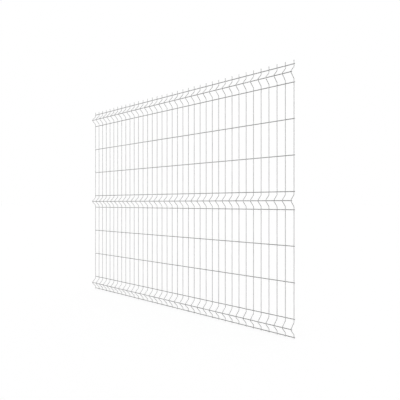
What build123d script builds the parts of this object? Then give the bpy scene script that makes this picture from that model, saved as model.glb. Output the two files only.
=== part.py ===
from build123d import *
from math import atan2, cos
import os

# Welded mesh fence panel: thin upright wires at the front, thicker line wires welded across
# their backs, and three V-shaped folds that run the whole length with their ridges to the front.
# X runs along the panel, with 0 at mid-length. The ridges point to -Y, and Y = 0 is the plane of
# the line wires' back flats, which bears on the posts. Z = 0 is the bottom line wire's axis.
# The wires are round in life and eight-sided here, with the same thickness across the flats.

# Wires
upright_thickness = 4.0
line_wire_thickness = 5.0
weld_bite = 0.8  # how far a line wire sinks into each upright at its weld
section_sides = 8

# Mesh
upright_count = 37
upright_pitch = 55.0
mesh_height = 200.0
meshes_between_folds = 3
line_wire_overhang = 3.0  # past the end uprights' axes

# Folds, measured on the wires' axes
fold_height = 100.0  # between the two line wires above and below a ridge
bend_half_height = 33.0  # from the ridge to where a bend begins
bend_sharp_depth = 34.0  # out to the ridge, before the bends are rounded
bend_radius = 9.0
band_margin = 12.0  # from a fold's outer line wire to the plane where a field takes over

# Ends of the uprights
spike_length = 20.0  # above the top line wire's axis
foot_length = 5.0  # below the bottom line wire's axis

# Places that follow from the sizes
line_axis_y = -line_wire_thickness / 2
weld_distance = (upright_thickness + line_wire_thickness) / 2 - weld_bite
upright_axis_y = line_axis_y - weld_distance
line_wire_length = (upright_count - 1) * upright_pitch + 2 * line_wire_overhang

field_height = meshes_between_folds * mesh_height
bottom_ridge_z = fold_height / 2
middle_ridge_z = bottom_ridge_z + fold_height + field_height
top_ridge_z = middle_ridge_z + fold_height + field_height
top_line_wire_z = top_ridge_z + fold_height / 2

# The round of the bend takes a little off the ridge, and the ridge wire lies in its hollow
flank_angle = atan2(bend_sharp_depth, bend_half_height)
ridge_depth = bend_sharp_depth - bend_radius * (1 / cos(flank_angle) - 1)
ridge_wire_y = upright_axis_y - ridge_depth + weld_distance

# A field begins just past the outer line wire of the fold beside it
band_reach = fold_height / 2 + band_margin


def wire_section(thickness):
    """The section of a wire, with flats to the front, back, left and right."""
    RegularPolygon(
        thickness / 2,
        section_sides,
        major_radius=False,
        rotation=180 / section_sides,
    )


def line_wires(places):
    """Straight wires from end to end of the panel, each centred on a (y, z) place."""
    with BuildSketch(Plane.YZ.offset(-line_wire_length / 2)) as sections:
        with Locations(*places):
            wire_section(line_wire_thickness)
    extrude(sections.sketch, amount=line_wire_length)


def fold_band(ridge_z, bottom_z, top_z):
    """One fold: bent uprights from bottom_z to top_z, with a line wire above, in and below it."""
    with BuildPart() as bent_upright:
        with BuildLine(Plane.YZ) as route:
            FilletPolyline(
                (upright_axis_y, bottom_z),
                (upright_axis_y, ridge_z - bend_half_height),
                (upright_axis_y - bend_sharp_depth, ridge_z),
                (upright_axis_y, ridge_z + bend_half_height),
                (upright_axis_y, top_z),
                radius=bend_radius,
            )
        with BuildSketch(Plane.XY.offset(bottom_z)):
            with Locations((0, upright_axis_y)):
                wire_section(upright_thickness)
        sweep(path=route.line)

    with BuildPart() as band:
        with GridLocations(upright_pitch, 0, upright_count, 1):
            add(bent_upright.part)
        line_wires(
            [
                (line_axis_y, ridge_z - fold_height / 2),
                (ridge_wire_y, ridge_z),
                (line_axis_y, ridge_z + fold_height / 2),
            ]
        )
    return band.part


def field_band(bottom_z, top_z):
    """The flat mesh between two folds, from bottom_z to top_z."""
    first_line_z = bottom_z - band_margin + mesh_height
    line_heights = [first_line_z + i * mesh_height for i in range(meshes_between_folds - 1)]
    with BuildPart() as band:
        with BuildSketch(Plane.XY.offset(bottom_z)):
            with Locations((0, upright_axis_y)):
                with GridLocations(upright_pitch, 0, upright_count, 1):
                    wire_section(upright_thickness)
        extrude(amount=top_z - bottom_z)
        line_wires([(line_axis_y, z) for z in line_heights])
    return band.part


bands = {
    "top_fold": fold_band(
        top_ridge_z, top_ridge_z - band_reach, top_line_wire_z + spike_length
    ),
    "upper_field": field_band(middle_ridge_z + band_reach, top_ridge_z - band_reach),
    "middle_fold": fold_band(
        middle_ridge_z, middle_ridge_z - band_reach, middle_ridge_z + band_reach
    ),
    "lower_field": field_band(bottom_ridge_z + band_reach, middle_ridge_z - band_reach),
    "bottom_fold": fold_band(bottom_ridge_z, -foot_length, bottom_ridge_z + band_reach),
}

os.makedirs("parts", exist_ok=True)
for name, band in bands.items():
    band.label = name
    export_step(band, f"parts/{name}.step")
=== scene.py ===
from math import atan2, cos, pi, radians, sin, tan

import bmesh
import bpy
from mathutils import Matrix, Vector


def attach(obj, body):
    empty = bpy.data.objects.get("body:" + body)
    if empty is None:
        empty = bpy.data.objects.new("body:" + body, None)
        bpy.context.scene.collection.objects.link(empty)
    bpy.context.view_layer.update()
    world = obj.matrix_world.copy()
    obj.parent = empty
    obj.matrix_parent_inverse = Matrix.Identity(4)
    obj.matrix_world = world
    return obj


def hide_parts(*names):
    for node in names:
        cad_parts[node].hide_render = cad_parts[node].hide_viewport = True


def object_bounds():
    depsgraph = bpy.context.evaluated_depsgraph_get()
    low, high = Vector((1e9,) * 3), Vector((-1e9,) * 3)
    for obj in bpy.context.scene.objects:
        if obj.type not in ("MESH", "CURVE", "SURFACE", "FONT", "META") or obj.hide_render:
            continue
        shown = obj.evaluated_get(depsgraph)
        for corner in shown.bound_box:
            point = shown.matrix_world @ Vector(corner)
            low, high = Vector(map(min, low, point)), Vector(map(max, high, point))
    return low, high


# A welded mesh fence panel in dull zinc: bent uprights at the front, and straight line wires
# welded across their backs. Sizes are in metres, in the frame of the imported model.

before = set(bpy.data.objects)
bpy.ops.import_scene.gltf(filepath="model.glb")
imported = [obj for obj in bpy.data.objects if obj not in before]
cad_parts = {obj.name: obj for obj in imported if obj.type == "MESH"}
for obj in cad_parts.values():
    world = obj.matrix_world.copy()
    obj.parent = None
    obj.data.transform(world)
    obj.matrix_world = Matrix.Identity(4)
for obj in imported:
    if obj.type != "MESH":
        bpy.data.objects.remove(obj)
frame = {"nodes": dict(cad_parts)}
cad_low, cad_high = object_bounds()


def add_object(name, data):
    """A new object in the scene, at the origin."""
    item = bpy.data.objects.new(name, data)
    bpy.context.scene.collection.objects.link(item)
    return item


# Camera: level, with the horizon a little below the middle of the image
IMAGE_SIZE = 400
FOCAL_LENGTH_PIXELS = 428.24
HORIZON_PIXEL = 202.82
SENSOR_WIDTH = 36.0
CAMERA_PLACE = Vector((2.2511, -2.0437, 0.73796))
CAMERA_AZIMUTH = radians(44.138)

camera_data = bpy.data.cameras.new("camera")
camera_data.sensor_width = SENSOR_WIDTH
camera_data.lens = FOCAL_LENGTH_PIXELS / IMAGE_SIZE * SENSOR_WIDTH
camera_data.shift_y = (HORIZON_PIXEL - IMAGE_SIZE / 2) / IMAGE_SIZE
camera = add_object("camera", camera_data)
camera.location = CAMERA_PLACE
camera.rotation_euler = (pi / 2, 0, CAMERA_AZIMUTH)
bpy.context.scene.camera = camera
bpy.context.scene.view_settings.view_transform = "Standard"

# Wires
UPRIGHT_RADIUS = 0.002
LINE_WIRE_RADIUS = 0.0025
WELD_BITE = 0.0008  # how far a line wire sinks into each upright
WIRE_SIDES = 16

# A wire's sheared end: a short last stretch, and a flat cut with a worn rim
END_STRETCH = 0.001
WORN_RIM = 0.0003
WORN_RIM_SEGMENTS = 2

# The bead of metal pressed out at a weld, as half sizes along X, Y and Z
WELD_BEAD = Vector((0.0029, 0.0013, 0.0032))
WELD_BEAD_SEGMENTS = 8
WELD_BEAD_RINGS = 6

# Mesh
UPRIGHT_COUNT = 37
UPRIGHT_PITCH = 0.055
MESH_HEIGHT = 0.2
MESHES_BETWEEN_FOLDS = 3

# Folds, measured on the wires' axes
FOLD_HEIGHT = 0.1  # between the two line wires above and below a ridge
BEND_HALF_HEIGHT = 0.033  # from the ridge to where a bend begins
BEND_SHARP_DEPTH = 0.034  # out to the ridge, before the bends are rounded
BEND_RADIUS = 0.009
TOE_STEPS = 5  # in the bend between the flat mesh and a flank
RIDGE_STEPS = 9

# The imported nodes, from the bottom up
FOLD_NODES = ("bottom_fold", "middle_fold", "top_fold")
FIELD_NODES = ("lower_field", "upper_field")

# Places that follow from the sizes
LINE_WIRE_Y = cad_high.y - LINE_WIRE_RADIUS
UPRIGHT_Y = LINE_WIRE_Y - (UPRIGHT_RADIUS + LINE_WIRE_RADIUS - WELD_BITE)
FLANK_ANGLE = atan2(BEND_SHARP_DEPTH, BEND_HALF_HEIGHT)
RIDGE_DEPTH = BEND_SHARP_DEPTH - BEND_RADIUS * (1 / cos(FLANK_ANGLE) - 1)
RIDGE_WIRE_Y = LINE_WIRE_Y - RIDGE_DEPTH
UPRIGHT_PLACES = [(i - (UPRIGHT_COUNT - 1) / 2) * UPRIGHT_PITCH for i in range(UPRIGHT_COUNT)]
FOLD_SPACING = FOLD_HEIGHT + MESHES_BETWEEN_FOLDS * MESH_HEIGHT
RIDGE_HEIGHTS = [FOLD_HEIGHT / 2 + i * FOLD_SPACING for i in range(len(FOLD_NODES))]

# The zinc's crystals, clouds of tone, pale bloom, pits and drawn streaks, to the metre
CRYSTALS = 420
CLOUDS = 22
BLOOM = 75
PITS = 1600
GRAIN_ALONG_X = (30, 900, 900)
GRAIN_ALONG_Z = (900, 900, 30)
NO_GRAIN = (300, 300, 300)

# The part of a pattern's range that is used, and the values that it is spread over
WHOLE_RANGE = (0, 1)
MOTTLE_RANGE = (0.25, 0.75)  # over the dark and the light tone
BLOOM_RANGE = (0.58, 0.7)
BLOOM_COVER = (0, 0.35)
BLOOM_LIFT = 0.08  # how much paler than the light tone the bloom can be
GLOSS_RANGE = (0.2, 0.8)
ROUGHNESS = (0.34, 0.66)
PIT_DEPTH = 0.0001

# Light: the world's strength at the horizon and overhead, and the lamps
WHITE = (1, 1, 1, 1)
LEVEL_LIGHT = 3.3
STEEP_LIGHT = 0.32
STEEP_ELEVATION = radians(30)  # past it, up or down, there is only the steep light
LAMP_SPREAD = radians(50)
LAMP_ELEVATION = radians(12)

# Floor
FLOOR_GREY = 0.35
FLOOR_GLOW = 0.772  # brings the lit floor up to white where it shows
FLOOR_REACH = 300  # so far that next to no light comes up past its edge
FLOOR_GAP = 0.0005  # under the uprights' feet


# Shader nodes

def set_inputs(node, **values):
    """Sets a node's inputs; an underscore in a name stands for a space."""
    for name, value in values.items():
        node.inputs[name.replace("_", " ")].default_value = value


def add_node(nodes, kind, **values):
    """A new node with its inputs set."""
    node = nodes.new(kind)
    set_inputs(node, **values)
    return node


def add_math(nodes, links, operation, value):
    """A new math node with a value as its first input."""
    node = nodes.new("ShaderNodeMath")
    node.operation = operation
    links.new(value, node.inputs[0])
    return node


def blend(nodes, links, first, second, share):
    """Mixes two values; share is the second one's part."""
    mix = add_node(nodes, "ShaderNodeMix", Factor=share)
    links.new(first, mix.inputs["A"])
    links.new(second, mix.inputs["B"])
    return mix.outputs["Result"]


def spread(nodes, links, value, old_range, new_range):
    """Maps a value from one range to another, and stops it at the ends."""
    mapped = add_node(
        nodes,
        "ShaderNodeMapRange",
        From_Min=old_range[0],
        From_Max=old_range[1],
        To_Min=new_range[0],
        To_Max=new_range[1],
    )
    links.new(value, mapped.inputs["Value"])
    return mapped.outputs["Result"]


# Finishes

def new_material(name):
    """An empty material: itself, its nodes, its links and its shader."""
    material = bpy.data.materials.new(name)
    material.use_nodes = True
    nodes = material.node_tree.nodes
    return material, nodes, material.node_tree.links, nodes["Principled BSDF"]


def zinc_finish(name, dark, light, metallic, relief, grain):
    """Dull zinc, mottled between a dark and a light tone, with a pale bloom and fine pits.

    grain is how many streaks there are to the metre along X, Y and Z.
    """
    material, nodes, links, shader = new_material(name)
    place = nodes.new("ShaderNodeTexCoord").outputs["Object"]
    crystals = add_node(nodes, "ShaderNodeTexVoronoi", Scale=CRYSTALS)
    clouds = add_node(nodes, "ShaderNodeTexNoise", Scale=CLOUDS, Detail=4)
    bloom = add_node(nodes, "ShaderNodeTexNoise", Scale=BLOOM, Detail=6)
    pits = add_node(nodes, "ShaderNodeTexNoise", Scale=PITS, Detail=3)
    along_wire = add_node(nodes, "ShaderNodeMapping", Scale=grain)
    streaks = add_node(nodes, "ShaderNodeTexNoise", Scale=1, Detail=3)
    for texture in (crystals, clouds, bloom, pits, along_wire):
        links.new(place, texture.inputs["Vector"])
    links.new(along_wire.outputs["Vector"], streaks.inputs["Vector"])

    facets = crystals.outputs["Color"]
    soft = blend(nodes, links, clouds.outputs["Fac"], streaks.outputs["Fac"], share=0.5)
    mottle = blend(nodes, links, facets, soft, share=0.6)
    coat = spread(nodes, links, mottle, MOTTLE_RANGE, (dark, light))
    powder = spread(nodes, links, bloom.outputs["Fac"], BLOOM_RANGE, BLOOM_COVER)
    palest = light + BLOOM_LIFT
    pale = spread(nodes, links, clouds.outputs["Fac"], WHOLE_RANGE, (light, palest))
    tone = nodes.new("ShaderNodeMix")
    links.new(powder, tone.inputs["Factor"])
    links.new(coat, tone.inputs["A"])
    links.new(pale, tone.inputs["B"])
    grey = nodes.new("ShaderNodeCombineColor")
    for channel in ("Red", "Green", "Blue"):
        links.new(tone.outputs["Result"], grey.inputs[channel])
    links.new(grey.outputs["Color"], shader.inputs["Base Color"])

    gloss = blend(nodes, links, facets, bloom.outputs["Fac"], share=0.6)
    links.new(spread(nodes, links, gloss, GLOSS_RANGE, ROUGHNESS), shader.inputs["Roughness"])

    surface = blend(nodes, links, pits.outputs["Fac"], streaks.outputs["Fac"], share=0.4)
    bump = add_node(nodes, "ShaderNodeBump", Strength=relief, Distance=PIT_DEPTH)
    links.new(surface, bump.inputs["Height"])
    links.new(bump.outputs["Normal"], shader.inputs["Normal"])
    set_inputs(shader, Metallic=metallic)
    return material


# Wire, drawn out from a ring of edges

def new_ring(bm, radius, place):
    """The ring that a wire starts from, in an empty bmesh."""
    bmesh.ops.create_circle(bm, segments=WIRE_SIDES, radius=radius, matrix=place)
    return list(bm.edges)


def draw_straight(bm, ring, step):
    """Draws the ring out along a vector, and returns the ring at its far end."""
    drawn = bmesh.ops.extrude_edge_only(bm, edges=ring)["geom"]
    verts = [item for item in drawn if isinstance(item, bmesh.types.BMVert)]
    bmesh.ops.translate(bm, verts=verts, vec=step)
    edges = [item for item in drawn if isinstance(item, bmesh.types.BMEdge)]
    return [edge for edge in edges if edge.verts[0] in verts and edge.verts[1] in verts]


def draw_bend(bm, ring, centre, turn, steps):
    """Turns the ring about a level line along X, and returns the ring at its far end."""
    turned = bmesh.ops.spin(
        bm, geom=ring, cent=centre, axis=(1, 0, 0), angle=turn, steps=steps, use_duplicate=False
    )
    return [item for item in turned["geom_last"] if isinstance(item, bmesh.types.BMEdge)]


def shear_end(bm, ring, outward):
    """Ends a wire with a short last stretch and a flat cut in bare steel, with a worn rim."""
    ring = draw_straight(bm, ring, outward * END_STRETCH)
    cut = bmesh.ops.contextual_create(bm, geom=ring)["faces"][0]
    cut.material_index = 1
    cut.smooth = False
    bmesh.ops.bevel(
        bm,
        geom=list(cut.edges),
        offset=WORN_RIM,
        segments=WORN_RIM_SEGMENTS,
        profile=0.5,
        affect="EDGES",
        material=-1,
    )


# Meshes and pieces

def shade_round(bm):
    """Shades the faces made so far as one round surface."""
    for face in bm.faces:
        face.smooth = True


def sort_faces(bm):
    """Orders the faces by their corners, because Blender's own order changes from run to run."""
    bm.verts.index_update()
    by_corners = sorted(bm.faces, key=lambda face: sorted(vert.index for vert in face.verts))
    for number, face in enumerate(by_corners):
        face.index = number
    bm.faces.sort()


def to_mesh(name, bm):
    """Makes a mesh from a bmesh, which it uses up."""
    sort_faces(bm)
    mesh = bpy.data.meshes.new(name)
    bm.to_mesh(mesh)
    bm.free()
    return mesh


def add_piece(name, bm, materials, nodes):
    """Makes a piece from a bmesh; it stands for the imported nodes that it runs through."""
    bmesh.ops.recalc_face_normals(bm, faces=bm.faces)
    mesh = to_mesh(name, bm)
    for material in materials:
        mesh.materials.append(material)
    piece = add_object(name, mesh)
    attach(piece, "root")
    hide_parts(*nodes)


# The panel's pieces

def bent_upright():
    """One upright at X = 0, drawn from its foot up through the three folds to its spike."""
    bm = bmesh.new()
    place = Vector((0, UPRIGHT_Y, cad_low.z + END_STRETCH))
    heading = 0.0
    ring = new_ring(bm, UPRIGHT_RADIUS, Matrix.Translation(place))
    foot = ring

    def straight(length):
        """Draws the wire on for a length in its present heading."""
        nonlocal ring, place
        step = length * Vector((0, -sin(heading), cos(heading)))
        ring = draw_straight(bm, ring, step)
        place = place + step

    def bend(turn, steps):
        """Bends the wire to the front for a positive turn, and back for a negative one."""
        nonlocal ring, place, heading
        towards = BEND_RADIUS if turn > 0 else -BEND_RADIUS
        centre = place + towards * Vector((0, -cos(heading), -sin(heading)))
        ring = draw_bend(bm, ring, centre, turn, steps)
        place = centre + Matrix.Rotation(turn, 3, "X") @ (place - centre)
        heading += turn

    toe_tangent = BEND_RADIUS * tan(FLANK_ANGLE / 2)
    ridge_tangent = BEND_RADIUS * tan(FLANK_ANGLE)
    flank_length = BEND_HALF_HEIGHT / cos(FLANK_ANGLE) - toe_tangent - ridge_tangent
    for ridge_z in RIDGE_HEIGHTS:
        straight(ridge_z - BEND_HALF_HEIGHT - toe_tangent - place.z)
        bend(FLANK_ANGLE, TOE_STEPS)
        straight(flank_length)
        bend(-2 * FLANK_ANGLE, RIDGE_STEPS)
        straight(flank_length)
        bend(FLANK_ANGLE, TOE_STEPS)
    straight(cad_high.z - END_STRETCH - place.z)
    shade_round(bm)
    shear_end(bm, foot, Vector((0, 0, -1)))
    shear_end(bm, ring, Vector((0, 0, 1)))
    return bm


def make_uprights(materials):
    """The uprights, numbered from left to right, all copies of one bent wire."""
    pattern = to_mesh("upright_pattern", bent_upright())
    for number, x in enumerate(UPRIGHT_PLACES, 1):
        bm = bmesh.new()
        bm.from_mesh(pattern)
        bmesh.ops.translate(bm, verts=bm.verts, vec=(x, 0, 0))
        add_piece(f"upright_{number:02d}", bm, materials, frame["nodes"])
    bpy.data.meshes.remove(pattern)


def make_line_wire(name, y, z, node, materials):
    """A straight wire from end to end of the panel, with a ring at each upright."""
    bm = bmesh.new()
    facing_x = Matrix.Rotation(pi / 2, 4, "Y")
    place = cad_low.x + END_STRETCH
    ring = new_ring(bm, LINE_WIRE_RADIUS, Matrix.Translation((place, y, z)) @ facing_x)
    left_end = ring
    for x in [*UPRIGHT_PLACES, cad_high.x - END_STRETCH]:
        ring = draw_straight(bm, ring, Vector((x - place, 0, 0)))
        place = x
    shade_round(bm)
    shear_end(bm, left_end, Vector((-1, 0, 0)))
    shear_end(bm, ring, Vector((1, 0, 0)))
    add_piece(name, bm, materials, [node])


def make_welds(name, y, z, node, material):
    """The beads of metal at one line wire's crossings, between it and the uprights."""
    bm = bmesh.new()
    bead_size = Matrix.Diagonal(WELD_BEAD).to_4x4()
    bead_y = y - LINE_WIRE_RADIUS + WELD_BITE / 2
    for x in UPRIGHT_PLACES:
        bmesh.ops.create_uvsphere(
            bm,
            u_segments=WELD_BEAD_SEGMENTS,
            v_segments=WELD_BEAD_RINGS,
            radius=1,
            matrix=Matrix.Translation((x, bead_y, z)) @ bead_size,
        )
    shade_round(bm)
    add_piece(name, bm, [material], [node])


def make_cross_wires(materials, weld_metal):
    """The ridge wires and, numbered from the bottom up, the line wires, each with its welds."""
    places = []
    for node, ridge_z in zip(FOLD_NODES, RIDGE_HEIGHTS):
        places.append((ridge_z - FOLD_HEIGHT / 2, node))
        places.append((ridge_z + FOLD_HEIGHT / 2, node))
    for node, ridge_z in zip(FIELD_NODES, RIDGE_HEIGHTS):
        for i in range(1, MESHES_BETWEEN_FOLDS):
            places.append((ridge_z + FOLD_HEIGHT / 2 + i * MESH_HEIGHT, node))

    wires = [
        (f"line_wire_{number:02d}", LINE_WIRE_Y, z, node)
        for number, (z, node) in enumerate(sorted(places), 1)
    ]
    for node, ridge_z in zip(FOLD_NODES, RIDGE_HEIGHTS):
        wires.append((f"ridge_wire_{node.removesuffix('_fold')}", RIDGE_WIRE_Y, ridge_z, node))
    for name, y, z, node in wires:
        make_line_wire(name, y, z, node, materials)
        make_welds(f"welds_{name}", y, z, node, weld_metal)


upright_zinc = zinc_finish(
    "upright_zinc", dark=0.35, light=0.51, metallic=0.3, relief=0.4, grain=GRAIN_ALONG_Z
)
# The line wires' copy of the zinc is darker than the uprights' as painted shade: level wires
# catch less of the light from the sides.
line_wire_zinc_painted_shade = zinc_finish(
    "line_wire_zinc_painted_shade", dark=0.25, light=0.4, metallic=0.3, relief=0.4, grain=GRAIN_ALONG_X
)
sheared_steel = zinc_finish(
    "sheared_steel", dark=0.23, light=0.38, metallic=0.6, relief=0.8, grain=NO_GRAIN
)
weld_metal = zinc_finish(
    "weld_metal", dark=0.23, light=0.38, metallic=0.3, relief=0.9, grain=NO_GRAIN
)

make_uprights([upright_zinc, sheared_steel])
make_cross_wires([line_wire_zinc_painted_shade, sheared_steel], weld_metal)


# Studio

def shows_background(nodes, links):
    """1 for the rays that show the background itself, straight or in metal and glass."""
    path = nodes.new("ShaderNodeLightPath")
    shown = path.outputs["Is Camera Ray"]
    for ray in ("Is Glossy Ray", "Is Transmission Ray"):
        either = add_math(nodes, links, "MAXIMUM", shown)
        links.new(path.outputs[ray], either.inputs[1])
        shown = either.outputs["Value"]
    return shown


def make_room():
    """A white room that lights most from the sides and less from above and below."""
    world = bpy.data.worlds.new("studio")
    bpy.context.scene.world = world
    world.use_nodes = True
    nodes, links = world.node_tree.nodes, world.node_tree.links
    nodes.clear()
    direction = nodes.new("ShaderNodeSeparateXYZ")
    links.new(nodes.new("ShaderNodeTexCoord").outputs["Generated"], direction.inputs["Vector"])
    steepness = add_math(nodes, links, "ABSOLUTE", direction.outputs["Z"])
    falloff = add_node(
        nodes,
        "ShaderNodeMapRange",
        From_Max=sin(STEEP_ELEVATION),
        To_Min=LEVEL_LIGHT,
        To_Max=STEEP_LIGHT,
    )
    falloff.interpolation_type = "SMOOTHSTEP"
    links.new(steepness.outputs["Value"], falloff.inputs["Value"])
    light = add_node(nodes, "ShaderNodeBackground", Color=WHITE)
    links.new(falloff.outputs["Result"], light.inputs["Strength"])
    background = add_node(nodes, "ShaderNodeBackground", Color=WHITE)
    pick = nodes.new("ShaderNodeMixShader")
    links.new(shows_background(nodes, links), pick.inputs["Fac"])
    links.new(light.outputs["Background"], pick.inputs[1])
    links.new(background.outputs["Background"], pick.inputs[2])
    surface = nodes.new("ShaderNodeOutputWorld")
    links.new(pick.outputs["Shader"], surface.inputs["Surface"])


def floor_paint():
    """Grey for the light that falls on it, and white where it shows."""
    paint, nodes, links, shader = new_material("floor_paint")
    set_inputs(
        shader,
        Base_Color=(FLOOR_GREY, FLOOR_GREY, FLOOR_GREY, 1),
        Roughness=1.0,
        Specular_IOR_Level=0.0,
        Emission_Color=WHITE,
    )
    glow = add_math(nodes, links, "MULTIPLY", shows_background(nodes, links))
    glow.inputs[1].default_value = FLOOR_GLOW
    links.new(glow.outputs["Value"], shader.inputs["Emission Strength"])
    return paint


def make_floor():
    """A pale floor that the feet just clear."""
    bm = bmesh.new()
    place = Matrix.Translation((0, 0, cad_low.z - FLOOR_GAP))
    bmesh.ops.create_grid(bm, x_segments=1, y_segments=1, size=FLOOR_REACH, matrix=place)
    mesh = to_mesh("floor", bm)
    mesh.materials.append(floor_paint())
    floor = add_object("floor", mesh)


def make_lamp(name, azimuth, strength):
    """A broad, soft lamp far off, a little over eye level and turned to an azimuth."""
    lamp_data = bpy.data.lights.new(name, "SUN")
    lamp_data.energy = strength
    lamp_data.angle = LAMP_SPREAD
    lamp = add_object(name, lamp_data)
    lamp.rotation_euler = (pi / 2 - LAMP_ELEVATION, 0, azimuth)


make_room()
make_floor()
make_lamp("front_lamp", azimuth=radians(40), strength=0.94)
make_lamp("back_lamp", azimuth=radians(200), strength=0.63)
